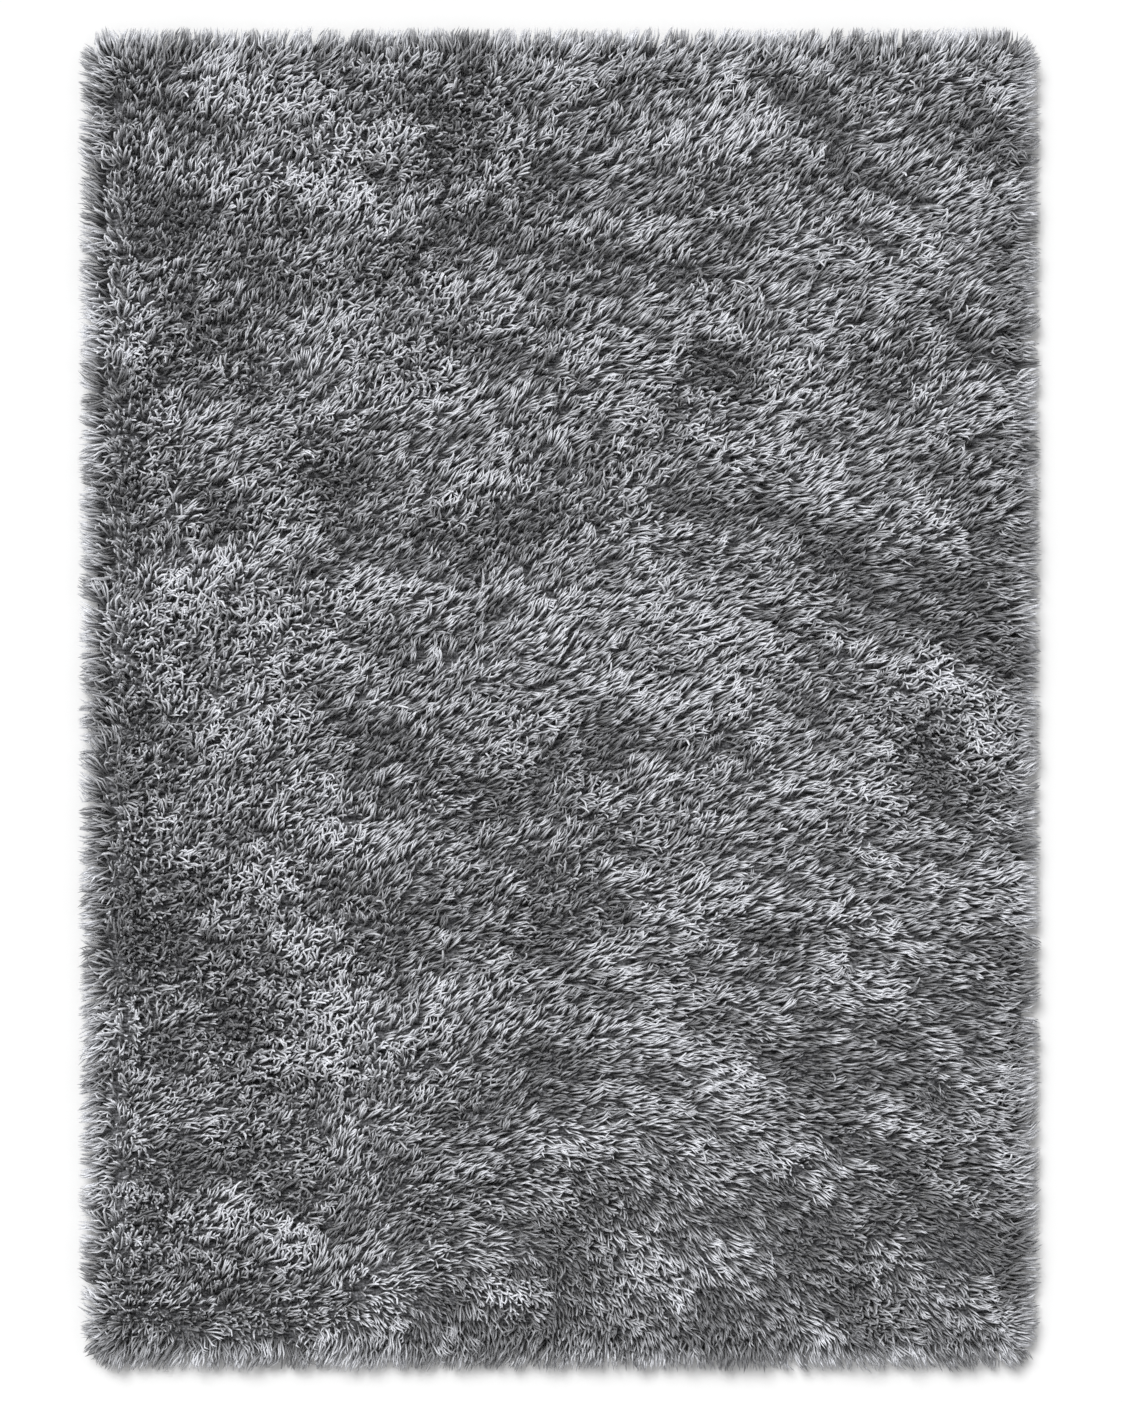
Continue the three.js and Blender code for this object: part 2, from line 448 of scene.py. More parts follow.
pileLie = {
    # where, as a share of half the width and half the length, and where the tips point, degrees
    "strokes": [
        (-0.92, 0.95, 66), (-0.50, 0.92, 42), (-0.08, 0.94, 50), (0.34, 0.92, 40),
        (0.70, 0.90, 38), (0.95, 0.92, 28),
        (-0.85, 0.58, 48), (-0.48, 0.62, 36), (-0.05, 0.60, 38), (0.35, 0.66, 45),
        (0.68, 0.56, 33), (0.94, 0.55, 14),
        (-0.86, 0.16, 50), (-0.45, 0.18, 42), (-0.02, 0.22, 44), (0.38, 0.20, 30),
        (0.70, 0.15, 28), (0.95, 0.12, 6),
        (-0.84, -0.25, 47), (-0.46, -0.20, 46), (-0.08, -0.24, 28), (0.34, -0.22, 32),
        (0.68, -0.26, 20), (0.94, -0.25, 12),
        (-0.84, -0.55, 40), (-0.46, -0.52, 50), (-0.10, -0.50, 28), (0.30, -0.52, 32),
        (-0.34, -0.62, 58), (-0.16, -0.62, 40),
        (0.66, -0.52, 8), (0.93, -0.55, -6),
        (-0.60, -0.72, 52), (-0.36, -0.74, 50), (0.00, -0.80, -52), (0.12, -0.76, -48),
        (0.32, -0.66, 16),
        (0.50, -0.80, -36), (0.74, -0.74, 22), (0.94, -0.80, -18),
        (-0.88, -0.78, 46), (-0.62, -0.82, 50), (-0.85, -0.99, 226), (-0.50, -1.0, 242),
        (-0.12, -0.97, 262), (0.12, -0.96, 272),
        (0.45, -0.95, 296), (0.72, -0.93, 318),
    ],
    "reach": 125 * mm,
    "wander": (15, 14),                  # degrees that the lie wanders, slowly and quickly
    "wanderSize": (150 * mm, 48 * mm),
    "wanderSeeds": (21, 22),
    # small partings from which the yarns fall apart: where, how wide, mm, and how strongly
    "partings": [
        (-0.90, -0.71, 18, 1.5), (-0.42, -0.89, 18, 1.5), (-0.27, -0.76, 14, 1.0),
        (-0.02, -0.64, 16, 1.0), (0.57, -0.66, 16, 1.1), (0.48, -0.69, 14, 1.0),
        (0.77, -0.57, 14, 1.0), (0.63, -0.81, 14, 1.0), (-0.51, -0.745, 15, 1.0),
        (-0.03, 0.145, 13, 0.9), (-0.27, -0.16, 12, 0.9), (0.59, -0.34, 14, 0.9),
        (0.61, -0.22, 12, 0.9), (-0.62, 0.78, 14, 1.0), (-0.455, -0.20, 14, 1.0),
        (0.70, 0.02, 12, 0.9),
    ],
    # where the yarns curl instead of lying combed: where, how far it reaches, mm, and how much
    "curls": [
        (-0.92, 0.55, 150, 0.55), (-0.80, 0.10, 170, 0.6), (-0.85, -0.35, 170, 0.7),
        (-0.62, -0.50, 120, 0.7), (-0.75, -0.80, 120, 0.5),
        (-0.45, 0.80, 150, 0.55), (-0.18, 0.84, 80, 0.6), (-0.33, 0.52, 80, 0.6),
        (-0.50, 0.30, 110, 0.4), (0.80, -0.06, 80, 0.7), (0.10, -0.26, 90, 0.35),
        (0.05, -0.85, 110, 0.5), (0.62, -0.86, 90, 0.45), (0.30, 0.45, 70, 0.3),
        (0.05, 0.35, 90, 0.3), (-0.10, -0.10, 80, 0.3),
    ],
    "edgeBand": (34 * mm, 62 * mm),      # nearer the edge than the first, the lie turns outwards
    "fallBand": (34 * mm, 68 * mm),      # and the yarns fall over the edge
    "edgePull": 3.0,                     # how strongly the lie turns outwards
    "edgeWobble": 34 * mm,               # the band wanders in and out
    # along the edges the tips lean out, turned this many degrees from straight out
    "fringeReach": 150 * mm,
    "fringeLean": [
        (-0.98, 0.30, 10), (-0.98, -0.20, 22), (-0.98, -0.70, 34), (-0.75, -1.0, -36),
        (-0.40, -1.0, -38), (-0.10, -1.0, -30), (0.15, -1.0, -14), (0.38, -1.0, -18),
        (0.58, -1.0, 16), (0.78, -1.0, 32), (0.95, -0.97, 36),
    ],
}

# Ridges and hollows of the pile, as on the frame's pile: millimetres
ridgeSets = [
    {"spacing": 122, "drift": 0.26, "waver": 24, "waverLength": 410, "share": 0.45},
    {"spacing": 205, "drift": -0.14, "waver": 30, "waverLength": 630, "share": 0.35},
    {"spacing": 331, "drift": 0.62, "waver": 45, "waverLength": 880, "share": 0.20},
]


def ridgeAt(x, y):
    total = 0
    for ridge in ridgeSets:
        waver = ridge["waver"] * np.sin(2 * np.pi * x / mm / ridge["waverLength"])
        across = y / mm + ridge["drift"] * x / mm + waver
        total = total + ridge["share"] * (0.5 + 0.5 * np.cos(2 * np.pi * across / ridge["spacing"]))
    return total


pileSwell = {
    # rolls of taller locks, then of tufts; the yarns are painted lighter on both and darker between: drawn
    # out how far, how wide in mm, seed, share
    "rolls": [(0.38, 42, 12, 0.46), (0.32, 23, 17, 0.68)],
    "tufts": [(0.75, 20, 15, 0.75), (0.5, 36, 16, 0.7)],
    "rise": 0.37,
    "sink": -0.38,
    # tufts that stand proud: where, half as long and half as wide in mm, turned how far, how much
    "crests": [
        (0.36, 0.84, 60, 26, -10, 1.0), (-0.04, 0.93, 50, 24, -50, 0.6), (0.45, 0.67, 60, 26, 5, 0.8),
        (0.80, 0.64, 60, 30, -30, 0.7), (-0.90, 0.70, 32, 24, 0, 0.7), (0.00, 0.48, 44, 26, -10, 0.9),
        (-0.14, 0.61, 36, 34, 0, 0.6), (-0.47, 0.54, 40, 26, 20, 0.5), (-0.30, 0.43, 56, 30, 20, 0.7),
        (-0.78, 0.41, 80, 24, 10, 0.6), (0.63, 0.33, 70, 26, -22, 0.9), (-0.68, 0.19, 70, 24, 5, 0.6),
        (-0.34, 0.15, 95, 28, -10, 0.7), (-0.53, 0.05, 54, 26, 15, 0.7), (0.35, 0.16, 50, 26, -10, 0.5),
        (0.82, 0.05, 46, 28, -30, 0.6), (0.18, 0.01, 80, 24, 8, 0.6), (0.61, -0.10, 42, 30, -30, 1.0),
        (0.10, -0.15, 95, 28, -12, 0.9), (0.76, -0.21, 95, 26, -24, 0.8), (-0.57, -0.36, 46, 34, 30, 0.6),
        (0.26, -0.35, 60, 36, 30, 0.6), (0.68, -0.36, 70, 34, 25, 0.5), (-0.20, -0.43, 110, 20, 0, 0.7),
        (-0.89, -0.47, 40, 22, 10, 0.6), (0.36, -0.56, 95, 26, -38, 0.6), (-0.35, -0.60, 70, 34, 66, 0.8),
        (0.09, -0.65, 46, 28, 0, 0.6), (-0.33, -0.87, 46, 28, 20, 0.6), (0.37, -0.90, 36, 26, 0, 0.4),
        (0.24, 0.95, 60, 26, -20, 0.7), (0.62, 0.93, 70, 24, -10, 0.5), (0.05, 0.87, 34, 22, -40, 0.5),
        (0.48, 0.36, 44, 22, -20, 0.6), (-0.44, 0.17, 50, 24, -10, 0.5), (0.45, -0.24, 70, 26, -30, 0.5),
    ],
    "hollows": [
        (-0.91, 0.80, 38, 26, 0, 0.8), (-0.17, 0.84, 85, 28, -48, 0.8), (0.20, 0.78, 40, 20, 0, 0.7),
        (0.67, 0.78, 46, 22, -20, 0.7), (-0.74, 0.64, 56, 34, -30, 0.8), (-0.37, 0.64, 54, 24, 10, 1.0),
        (0.19, 0.65, 64, 22, -8, 1.0), (0.80, 0.51, 95, 18, -4, 1.1), (0.34, 0.46, 46, 22, -10, 0.5),
        (-0.52, 0.36, 100, 20, -16, 0.9), (-0.89, 0.31, 46, 22, 50, 0.9), (-0.18, 0.26, 80, 28, 10, 0.8),
        (-0.64, 0.26, 54, 16, 0, 0.6), (0.56, 0.23, 85, 20, -24, 0.9), (0.83, 0.15, 54, 28, -40, 1.0),
        (-0.69, 0.04, 40, 18, 0, 0.6), (0.58, 0.03, 60, 18, -35, 0.6), (-0.86, -0.06, 46, 30, -10, 1.0),
        (0.80, -0.09, 64, 30, -36, 1.2), (-0.20, -0.10, 46, 20, -20, 0.5), (-0.55, -0.22, 60, 24, -30, 0.8),
        (-0.88, -0.36, 48, 44, 0, 1.1), (-0.31, -0.37, 60, 26, 28, 1.0), (-0.67, -0.48, 34, 32, 0, 1.0),
        (-0.61, -0.66, 40, 28, 0, 0.9), (0.69, -0.66, 85, 30, -44, 1.1), (0.14, -0.73, 60, 24, 0, 0.8),
        (-0.81, -0.78, 60, 22, 20, 0.9), (-0.68, -0.88, 50, 28, -10, 0.9), (0.60, -0.87, 80, 30, -56, 1.1),
        (0.07, -0.86, 60, 22, 66, 0.8), (-0.12, -0.66, 70, 20, -60, 0.6), (-0.68, 0.93, 80, 32, 0, 0.8),
        (-0.38, 0.90, 50, 30, -20, 0.6), (-0.44, -0.93, 60, 26, 0, 0.7), (0.26, -0.94, 60, 24, 0, 0.6),
        (0.93, -0.88, 36, 44, 0, 0.8), (0.22, 0.22, 70, 42, 0, 0.6), (-0.10, 0.24, 60, 20, 0, 0.5),
        (-0.78, 0.00, 46, 40, 0, 0.4), (-0.58, -0.46, 50, 30, 20, 0.4), (0.30, -0.78, 60, 30, 30, 0.5),
    ],
}


def rollsAt(x, y, rolls):
    # soft rolls, longer across the rug than along it, that bow down to the right
    bowed = y + 0.10 * x + 0.45 * np.maximum(x, 0) ** 2
    total = 0.5
    for drawnOut, wide, seed, share in rolls:
        total = total + share * (smoothNoise(x * drawnOut, bowed, wide * mm, seed) - 0.5)
    return total


def swellAt(x, y):
    total = rollsAt(x, y, pileSwell["rolls"])
    for kind, change in (("crests", pileSwell["rise"]), ("hollows", pileSwell["sink"])):
        for across, along, halfLong, halfWide, turn, amount in pileSwell[kind]:
            fromX, fromY = x - across * rugHalf[0], y - along * rugHalf[1]
            cosine, sine = math.cos(math.radians(turn)), math.sin(math.radians(turn))
            lengthwise = (fromX * cosine + fromY * sine) / (halfLong * mm)
            widthwise = (fromY * cosine - fromX * sine) / (halfWide * mm)
            total = total + change * amount * np.exp(-0.5 * (lengthwise ** 2 + widthwise ** 2))
    return np.clip(total, 0, 1)


def tuftAt(x, y):
    # locks that stand proud of their neighbours, a finger or two across
    return np.clip(rollsAt(x, y, pileSwell["tufts"]), 0, 1)


def curlAt(x, y):
    curl = np.full_like(x, 0.08)
    for across, along, reach, amount in pileLie["curls"]:
        away = np.hypot(x - across * rugHalf[0], y - along * rugHalf[1]) / (reach * mm)
        curl = np.maximum(curl, amount * np.exp(-0.5 * away ** 2))
    return np.clip(curl + 0.5 * (smoothNoise(x, y, 60 * mm, 14) - 0.45), 0, 1)


def lieAt(x, y):
    # the way the tips point, as a unit vector, and how well the strokes agree there
    towardX, towardY, weights = 0, 0, 1e-9
    for across, along, heading in pileLie["strokes"]:
        away = np.hypot(x - across * rugHalf[0], y - along * rugHalf[1]) / pileLie["reach"]
        weight = np.exp(-0.5 * away ** 2)
        towardX = towardX + weight * math.cos(math.radians(heading))
        towardY = towardY + weight * math.sin(math.radians(heading))
        weights = weights + weight
    agree = np.hypot(towardX, towardY) / weights
    turn = 0
    for size, seed, degrees in zip(pileLie["wanderSize"], pileLie["wanderSeeds"], pileLie["wander"]):
        turn = turn + 2 * math.radians(degrees) * (smoothNoise(x, y, size, seed) - 0.5)
    angle = np.arctan2(towardY, towardX) + turn
    towardX, towardY = np.cos(angle), np.sin(angle)
    for across, along, reach, strength in pileLie["partings"]:
        fromX, fromY = x - across * rugHalf[0], y - along * rugHalf[1]
        away = np.hypot(fromX, fromY) + 1e-6
        pull = strength * np.exp(-0.5 * (away / (reach * mm)) ** 2)
        towardX, towardY = towardX + pull * fromX / away, towardY + pull * fromY / away
    inset, outX, outY = rugOutline(x, y)
    wobble = pileLie["edgeWobble"] * (smoothNoise(x, y, 42 * mm, 23) - 0.5)
    pull = pileLie["edgePull"] * (1 - rampUp(inset + wobble, *pileLie["edgeBand"]))
    aside, weights = 0, 0.05
    for across, along, degrees in pileLie["fringeLean"]:
        away = np.hypot(x - across * rugHalf[0], y - along * rugHalf[1]) / pileLie["fringeReach"]
        weight = np.exp(-0.5 * away ** 2)
        aside, weights = aside + weight * math.radians(degrees), weights + weight
    aside = aside / weights
    towardX = towardX + pull * (outX * np.cos(aside) - outY * np.sin(aside))
    towardY = towardY + pull * (outX * np.sin(aside) + outY * np.cos(aside))
    length = np.hypot(towardX, towardY) + 1e-9
    return towardX / length, towardY / length, agree


def spreadAt(x, y):
    # how fast the lie spreads apart, 0 to 1: along partings the yarns stand up
    gap = 16 * mm
    rightX, leftX = lieAt(x + gap, y)[0], lieAt(x - gap, y)[0]
    upY, downY = lieAt(x, y + gap)[1], lieAt(x, y - gap)[1]
    spread = (rightX - leftX + upY - downY) / (2 * gap)
    return np.clip(spread * 34 * mm, 0, 1)


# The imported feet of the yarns, one low form under them

pileBed = {
    "cells": (44, 62),
    "height": 17 * mm,
    "rise": 8 * mm,                      # higher under the crests
    "inset": 21 * mm,                    # the feet stop short of the outermost yarns
    "corner": 26 * mm,
    "shoulder": 30 * mm,
    "underside": clothHigh[2] + 0.3 * mm,
    # painted shade: the feet are coloured about as dark as the yarns' shaded roots
    "colour": (0.190, 0.192, 0.203),
}


def bedTop(x, y):
    half = [h - pileBed["inset"] for h in rugHalf]
    inset = outline(x, y, half, pileBed["corner"])[0]
    fall = 1 - np.clip(inset / pileBed["shoulder"], 0, 1)
    crown = pileBed["height"] + pileBed["rise"] * (swellAt(x, y) - 0.5)
    base = pileBed["underside"] + 0.5 * mm
    return base + (crown - base) * np.sqrt(np.maximum(1 - fall ** 2, 0))


def makePileBed():
    half = [h - pileBed["inset"] for h in rugHalf]
    bed = startPiece(
        bpy.ops.mesh.primitive_grid_add, "pileBed", size=2,
        x_subdivisions=pileBed["cells"][0], y_subdivisions=pileBed["cells"][1])
    places = placeOf(bed.data)
    x, y = places[:, 0] * half[0], places[:, 1] * half[1]
    # draw the grid's square corners in to round ones
    pastX = np.abs(x) - (half[0] - pileBed["corner"])
    pastY = np.abs(y) - (half[1] - pileBed["corner"])
    corner = (pastX > 0) & (pastY > 0)
    apart = np.where(corner, np.hypot(pastX, pastY), 1)
    shrink = np.where(corner, 1 - np.maximum(pastX, pastY) / apart, 0)
    x = x - np.sign(x) * pastX * shrink
    y = y - np.sign(y) * pastY * shrink
    movePlaces(bed.data, np.stack([x, y, bedTop(x, y)], 1))
    bpy.ops.object.mode_set(mode="EDIT")
    bpy.ops.mesh.select_all(action="SELECT")
    bpy.ops.mesh.extrude_region_move(TRANSFORM_OT_translate={"value": (0, 0, -pileBed["height"])})
    bpy.ops.transform.resize(value=(1, 1, 0), center_override=(0, 0, pileBed["underside"]))
    bpy.ops.mesh.dissolve_limited(angle_limit=math.radians(1))
    bpy.ops.mesh.select_all(action="SELECT")
    bpy.ops.mesh.normals_make_consistent(inside=False)
    bpy.ops.object.mode_set(mode="OBJECT")
    bpy.ops.object.shade_smooth_by_angle(angle=math.radians(50))
    bed.data.materials.append(makeRootsMaterial())
    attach(bed, "root")
    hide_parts("pile")
    print("pile bed made,", len(bed.data.polygons), "faces")
    return bed


# The yarns. Rings are at shares of the length, and girths are shares of the thickness.

yarn = {
    "straight": {"rings": [0.20, 0.77], "girths": [0.90, 0.82, 0.0]},
    "curly": {"rings": [0.20, 0.50, 0.74, 0.92], "girths": [0.90, 1.0, 1.0, 0.82, 0.0]},
    "thickness": 3.4 * mm,
    "length": 48 * mm,
    "gap": 5.80 * mm,                    # between roots
    "scatter": 0.28,                     # of the gap
    "border": 3 * mm,                    # of bare cloth
    "edgeRows": [(5, 2.0), (17, 2.6), (31, 3.2)],   # how far in, and how far apart, mm
    "perCorner": 110,
    "looseShare": 0.0025,                # lie loosely on top
    "curlyShare": 0.18,                  # of the yarns, modelled with more rings
    "bands": 6,                          # pieces that the pile is made in, along the rug
    "steps": 40,
    "seed": 32,
}

# Locks: how far apart, and how much one differs from the next
lockVary = {
    "spacing": 14.5 * mm,
    "scatter": 0.22,                     # of the spacing
    "turn": math.radians(12),
    "length": 0.12,
    "tilt": math.radians(10),
    "tone": 0.20,
    "ownPlace": 7 * mm,                  # a yarn's own lie is taken from about here
    "hold": 0.46,                        # how far a lock's tips draw together,
    "lessInCurls": 0.26,
    "moreAtEdge": 0.20,
}

# How the outermost yarns reach out, millimetres
fringe = {
    "beyond": 6,                         # yarns from the cloth's very edge aim past the outline,
    "setBack": 0.48,                     # and others less, by this share of their way in
    "ragged": 2.6,                       # each falls short by about this much
    "raggedNear": 4,                     # and by this much more along the near edge
    "past": 6.4,                         # none goes further past the outline,
    "pastScatter": 2.9,                  # and most go this much less
    "fall": 0.85,                        # a tip that is turned back goes down by this share
}

# How far the yarns stray from the lie and lean from upright, in degrees
yarnStray = {"plain": 11, "inCurls": 24, "atEdge": 6, "atPartings": 30, "whereTurning": 140}
yarnBend = {"plain": 22, "inCurls": 84}
yarnWave = {"plain": 5, "inCurls": 24}
yarnLean = {
    "root": 8,
    "unsettled": 8,                      # more at the root where the strokes don't agree
    "tip": 49,
    "onCrests": 22,
    "inCurls": 32,
    "loose": 88,
    "overEdge": 66,
    "droop": 50,                         # more at the very edge, by lock
}

# Tones, from 0 for the darkest dye to 1 for the lightest, with painted light and shade laid on
yarnTone = {
    "middle": 0.535,
    "perYarn": 0.10,
    # painted light on the swells and tufts, painted shade in the hollows between
    "swell": 0.98,
    "tuft": 1.0,
    "loose": 0.25,
    "far": 0.055,                        # painted light: lighter towards the far end, the lamp's side
    "right": 0.075,                      # and so much darker: to the right, away from the lamp, as painted shade,
    "curl": 0.12,                        # where the yarns curl,
    "edge": 0.03,                        # along the edges, as painted shade,
    "nearEdge": 0.08,                    # and along the near one, where the fringe droops away from the lamp, as more painted shade
}


def modelYarn(name, rings):
    # one straight yarn of radius 1 and length 1, cut off square below and drawn in to a tip
    master = startPiece(
        bpy.ops.mesh.primitive_circle_add, name, vertices=3, radius=1,
        fill_type="NGON", location=(0, 0, rings[0]))
    bpy.ops.object.transform_apply(location=True, rotation=False, scale=False)
    bpy.ops.object.mode_set(mode="EDIT")
    bpy.ops.mesh.select_all(action="SELECT")
    for low, high in zip(rings, rings[1:] + [1.0]):
        bpy.ops.mesh.extrude_region_move(TRANSFORM_OT_translate={"value": (0, 0, high - low)})
    bpy.ops.mesh.merge(type="CENTER")
    bpy.ops.mesh.select_all(action="SELECT")
    bpy.ops.mesh.normals_make_consistent(inside=False)
    bpy.ops.object.mode_set(mode="OBJECT")
    return master


def staggeredGrid(gap, border, scatter, rng):
    # places over the cloth in staggered rows, each a little out of line
    columns = int(2 * (clothHalf[0] - border) / gap) + 1
    rows = int(2 * (clothHalf[1] - border) / (gap * math.sqrt(0.75))) + 1
    column, row = np.meshgrid(np.arange(columns), np.arange(rows))
    x = (column - (columns - 1) / 2 + 0.5 * (row % 2) - 0.25) * gap
    y = (row - (rows - 1) / 2) * gap * math.sqrt(0.75)
    x = x + scatter * gap * rng.standard_normal(x.shape)
    y = y + scatter * gap * rng.standard_normal(y.shape)
    return x.ravel(), y.ravel()


def edgeRow(border, gap, rng):
    # one more row of roots along the edge of the cloth
    width, length = 2 * (clothHalf[0] - border), 2 * (clothHalf[1] - border)
    along = np.arange(0, 2 * (width + length), gap)
    corners = np.array([0, width, width + length, 2 * width + length, 2 * (width + length)])
    x = np.interp(along, corners, np.array([-0.5, 0.5, 0.5, -0.5, -0.5]) * width)
    y = np.interp(along, corners, np.array([0.5, 0.5, -0.5, -0.5, 0.5]) * length)
    scatter = min(border, 9 * mm) * rng.uniform(-0.9, 0.6, (2, len(along)))
    return x + scatter[0] * np.sign(x), y + scatter[1] * np.sign(y)


def cornerRoots(rng):
    # more roots about each corner, where the yarns fan out
    count = yarn["perCorner"]
    out = 18 * mm * np.sqrt(rng.random(4 * count))
    turn = 2 * np.pi * rng.random(4 * count)
    signX = np.repeat([-1, 1, 1, -1], count)
    signY = np.repeat([-1, -1, 1, 1], count)
    x = signX * (clothHalf[0] - 20 * mm) + out * np.cos(turn)
    y = signY * (clothHalf[1] - 20 * mm) + out * np.sin(turn)
    return x, y


def nearestLock(x, y, lockX, lockY):
    tree = kdtree.KDTree(len(lockX))
    for k in range(len(lockX)):
        tree.insert((lockX[k], lockY[k], 0), k)
    tree.balance()
    return np.array([tree.find((x[k], y[k], 0))[1] for k in range(len(x))])


def setRoots(rng):
    # where every yarn comes up through the cloth
    roots = [staggeredGrid(yarn["gap"], yarn["border"], yarn["scatter"], rng)]
    for border, gap in yarn["edgeRows"]:
        roots.append(edgeRow(border * mm, gap * mm, rng))
    roots.append(cornerRoots(rng))
    return np.concatenate(roots, axis=1)


def walkUp(x, y, length, heading, bend, tiltRoot, tiltTip, curl, rng):
    # walk up each yarn from its root, leaning over more and more
    steps, count = yarn["steps"], len(x)
    along = (np.arange(steps) + 0.5) / steps
    tilt = tiltRoot[:, None] + (tiltTip - tiltRoot)[:, None] * along ** (1.3 + 0.7 * curl)[:, None]
    wave = np.radians(yarnWave["plain"] + yarnWave["inCurls"] * curl)[:, None] * np.sin(
        2 * np.pi * (along * rng.uniform(1.2, 2.4, count)[:, None] + rng.random(count)[:, None]))
    turned = heading[:, None] + bend[:, None] * along ** 1.6 + wave
    step = (length / steps)[:, None]
    walk = np.stack([np.sin(tilt) * np.cos(turned), np.sin(tilt) * np.sin(turned),
                     np.cos(tilt)], 2) * step[:, :, None]
    path = np.concatenate([np.zeros((count, 1, 3)), np.cumsum(walk, 1)], 1)
    path += np.stack([x, y, np.full(count, clothHigh[2])], 1)[:, None]
    return path


def drawTogether(path, lock, locks, hold):
    # the yarns of a lock draw together towards their tips
    steps = yarn["steps"]
    draw = (np.arange(steps + 1) / steps) ** 1.5
    members = np.maximum(np.bincount(lock, minlength=locks), 1)
    for axis in (0, 1):
        for level in range(1, steps + 1):
            centre = np.bincount(lock, path[:, level, axis], locks) / members
            path[:, level, axis] += hold * draw[level] * (centre[lock] - path[:, level, axis])


def evenOut(path, outer, rng):
    # the outermost yarns all reach about as far out, a little more raggedly at the near edge
    root = path[:, :1, :2].copy()
    rootFar = rugOutline(root[:, 0, 0], root[:, 0, 1])[0]
    tipFar = rugOutline(path[:, -1, 0], path[:, -1, 1])[0]
    atNearEdge = root[:, 0, 1] < -0.9 * clothHalf[1]
    ragged = np.abs(rng.normal(0, 1, len(path))) * (fringe["ragged"] + fringe["raggedNear"] * atNearEdge)
    wanted = rootFar - fringe["setBack"] * (rootFar - overhang) + fringe["beyond"] * mm - ragged * mm
    stretch = np.clip(wanted / np.maximum(rootFar - tipFar, 5 * mm), 0.6, 1.6)
    stretch = 1 + (stretch - 1) * outer
    path[:, :, :2] = root + (path[:, :, :2] - root) * stretch[:, None, None]


def keepInside(path, rng):
    # under the pile's top, inside its outline and off the floor
    count = len(path)
    low = clothHigh[2]
    ridge = ridgeAt(path[:, 0, 0], path[:, 0, 1])
    crown = pileHigh[2] - 5 * mm * (1 - ridge) + rng.normal(0, 1.2 * mm, count)
    squash = np.minimum(1, (crown - low) / (path[:, :, 2].max(1) - low))
    path[:, :, 2] = low + (path[:, :, 2] - low) * squash[:, None]
    far, outX, outY = rugOutline(path[:, :, 0], path[:, :, 1])
    reachIn = np.abs(rng.normal(0, fringe["pastScatter"] * mm, count))[:, None] - fringe["past"] * mm
    over = np.maximum(reachIn - far, 0)
    path[:, :, 0] -= over * outX
    path[:, :, 1] -= over * outY
    path[:, :, 2] -= fringe["fall"] * over
    path[:, :, 2] = np.maximum(path[:, :, 2], 1.3 * mm + 1.5 * mm * rng.random(count)[:, None])


